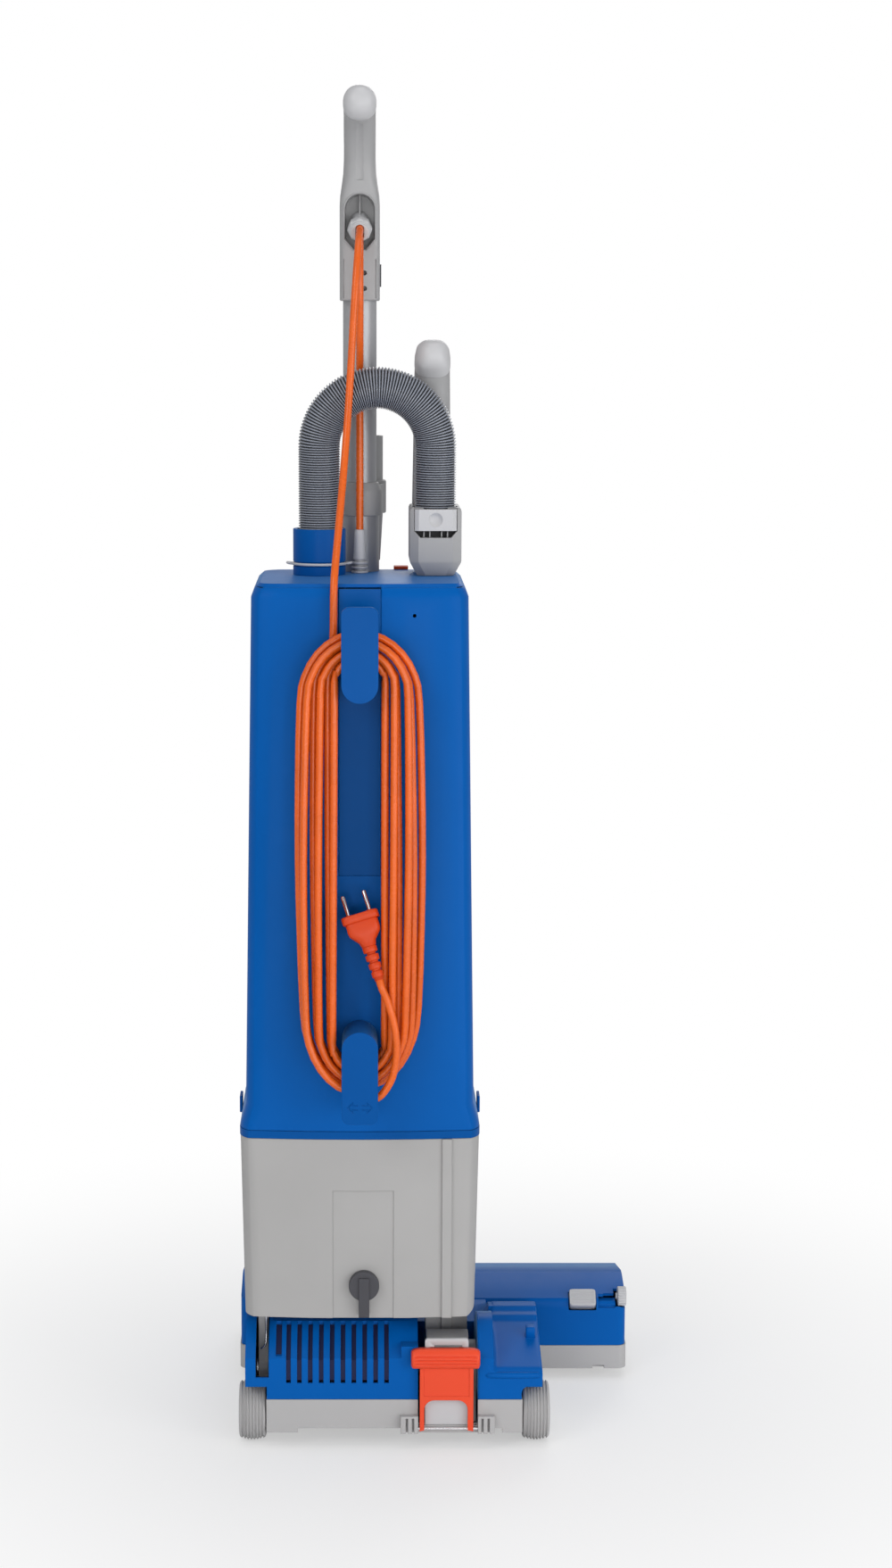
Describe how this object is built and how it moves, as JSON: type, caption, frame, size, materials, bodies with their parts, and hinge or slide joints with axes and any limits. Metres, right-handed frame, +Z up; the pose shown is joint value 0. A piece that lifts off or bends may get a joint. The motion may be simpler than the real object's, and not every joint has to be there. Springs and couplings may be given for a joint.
{
  "type": "upright vacuum cleaner",
  "caption": "Upright vacuum cleaner with an offset power head, tilting bag body, suction hose and wand, straight handle and a mains cord wound on two rear hooks.",
  "frame": {"origin": "centre of the bounding box of the whole machine without its cords, on the floor", "axes": "+Z up along the handle, +Y forward over the power head, +X to the right of a user who stands behind"},
  "size_m": [0.368, 0.3686, 1.1979],
  "materials": {
    "blue_plastic": "smooth moulded blue plastic, satin gloss",
    "case_grey": "warm light grey moulded plastic, fine texture",
    "base_grey": "grey moulded plastic",
    "light_grey": "light grey moulded plastic",
    "tube_grey": "mid grey moulded plastic",
    "dark_plastic": "dark grey moulded plastic",
    "clip_orange": "orange-red moulded plastic",
    "cord_orange": "orange sheathed three-core cable, satin",
    "hose_grey": "dark grey ribbed hose plastic, satin",
    "steel": "bright steel",
    "tube_metal": "anodised aluminium tube",
    "motor_metal": "motor can",
    "bag_paper": "filter paper fleece",
    "filter_white": "white filter fleece",
    "bristle_black": "nylon bristle",
    "belt_black": "toothed rubber belt"
  },
  "bodies": {
    "head": {"head_base": "base_grey", "head_cover": "blue_plastic", "rear_axle_pins": "steel", "front_roller_pins": "steel", "brush_bearing": "tube_grey", "brush_motor": "motor_metal", "drive_belt": "belt_black", "pivot_bracket": "steel", "tilt_spring": "steel", "neck_backplate": "light_grey", "suction_duct": "tube_grey", "clip_pin": "steel", "side_slider": "clip_orange"},
    "wheel_left": {"wheel_left": "base_grey"},
    "wheel_right": {"wheel_right": "base_grey"},
    "roller_left": {"front_roller_left": "dark_plastic"},
    "roller_right": {"front_roller_right": "dark_plastic"},
    "brush": {"brush_core": "dark_plastic", "bristles": "bristle_black"},
    "motor_rotor": {"motor_shaft": "steel"},
    "clip": {"duct_clip": "clip_orange"},
    "height_knob": {"height_knob": "light_grey"},
    "brush_button": {"brush_button": "light_grey"},
    "body": {"motor_case": "case_grey", "neck_duct": "case_grey", "pivot_arm": "case_grey", "case_rim": "blue_plastic", "back_shell": "blue_plastic", "cover_pin": "steel", "suction_motor": "motor_metal", "dust_bag": "bag_paper", "exhaust_filter": "filter_white", "case_pipe": "tube_grey", "hose_port": "blue_plastic", "port_clip": "light_grey", "strain_relief": "tube_grey", "upper_hook": "blue_plastic", "side_catches": "blue_plastic", "handle_tubes": "tube_metal", "tube_collar": "tube_grey", "main_grip": "light_grey", "gland": "light_grey", "hose": "hose_grey", "mains_run": "cord_orange", "mains_winding": "cord_orange", "mains_tail": "cord_orange", "plug": "cord_orange", "plug_pins": "steel", "link_cord": "cord_orange"},
    "cover": {"front_cover": "blue_plastic"},
    "latch": {"cover_latch": "clip_orange"},
    "fan": {"impeller": "motor_metal"},
    "lower_hook": {"lower_hook": "blue_plastic"},
    "lever": {"release_lever": "dark_plastic"},
    "nozzle": {"crevice_nozzle": "tube_grey"},
    "switch": {"power_switch": "dark_plastic"},
    "wand": {"wand_grip": "tube_grey", "wand_tube": "tube_grey"},
    "cuff_button": {"cuff_button": "light_grey"}
  },
  "joints": [
    {"name": "body_tilt", "type": "hinge", "parent": "head", "child": "body", "pos_m": [-0.07, -0.0957, 0.06], "axis": [1, 0, 0], "range_deg": [0, 65]},
    {"name": "wheel_left_spin", "type": "hinge", "parent": "head", "child": "wheel_left", "pos_m": [-0.1663, -0.1157, 0.027], "axis": [1, 0, 0], "continuous": true},
    {"name": "wheel_right_spin", "type": "hinge", "parent": "head", "child": "wheel_right", "pos_m": [0.0882, -0.1157, 0.027], "axis": [1, 0, 0], "continuous": true},
    {"name": "roller_left_spin", "type": "hinge", "parent": "head", "child": "roller_left", "pos_m": [-0.13, 0.0923, 0.009], "axis": [1, 0, 0], "continuous": true},
    {"name": "roller_right_spin", "type": "hinge", "parent": "head", "child": "roller_right", "pos_m": [0.13, 0.0923, 0.009], "axis": [1, 0, 0], "continuous": true},
    {"name": "brush_spin", "type": "hinge", "parent": "head", "child": "brush", "pos_m": [-0.07, 0.1423, 0.03], "axis": [1, 0, 0], "continuous": true},
    {"name": "motor_spin", "type": "hinge", "parent": "head", "child": "motor_rotor", "pos_m": [-0.07, -0.0957, 0.06], "axis": [1, 0, 0], "continuous": true},
    {"name": "clip_release", "type": "hinge", "parent": "head", "child": "clip", "pos_m": [-0.07, -0.1432, 0.019], "axis": [1, 0, 0], "range_deg": [0, 90]},
    {"name": "brush_button_press", "type": "slide", "parent": "head", "child": "brush_button", "axis": [0, 0.7071, -0.7071], "range_m": [0, 0.003], "stiffness_N_per_m": 400},
    {"name": "height_set", "type": "hinge", "parent": "head", "child": "height_knob", "pos_m": [0.184, 0.0423, 0.079], "axis": [1, 0, 0], "range_deg": [0, 270]},
    {"name": "cover_open", "type": "hinge", "parent": "body", "child": "cover", "pos_m": [-0.07, 0.0263, 0.2986], "axis": [-1, 0, 0], "range_deg": [0, 75]},
    {"name": "latch_lift", "type": "hinge", "parent": "cover", "child": "latch", "pos_m": [-0.033, 0.0363, 0.736], "axis": [-1, 0, 0], "range_deg": [0, 20], "stiffness_Nm_per_rad": 0.05},
    {"name": "fan_spin", "type": "hinge", "parent": "body", "child": "fan", "pos_m": [-0.098, -0.0477, 0.2], "axis": [0, 0, 1], "continuous": true},
    {"name": "lower_hook_turn", "type": "hinge", "parent": "body", "child": "lower_hook", "pos_m": [-0.07, -0.1357, 0.376], "axis": [0, 1, 0], "range_deg": [-135, 180]},
    {"name": "lever_turn", "type": "hinge", "parent": "body", "child": "lever", "pos_m": [-0.0663, -0.1357, 0.15], "axis": [0, 1, 0], "range_deg": [0, 40]},
    {"name": "nozzle_lift", "type": "slide", "parent": "body", "child": "nozzle", "axis": [0, 0, 1], "range_m": [0, 0.05]},
    {"name": "switch_press", "type": "slide", "parent": "body", "child": "switch", "axis": [-1, 0, 0], "range_m": [0, 0.0008], "stiffness_N_per_m": 400},
    {"name": "wand_lift", "type": "slide", "parent": "body", "child": "wand", "axis": [0, 0, 1], "range_m": [0, 0.15], "deforming": ["hose"]},
    {"name": "cuff_button_press", "type": "slide", "parent": "wand", "child": "cuff_button", "axis": [0, 1, 0], "range_m": [0, 0.003], "stiffness_N_per_m": 300}
  ],
  "couplings": [
    {"joint": "motor_spin", "follows": "brush_spin", "ratio": 1.5556}
  ]
}
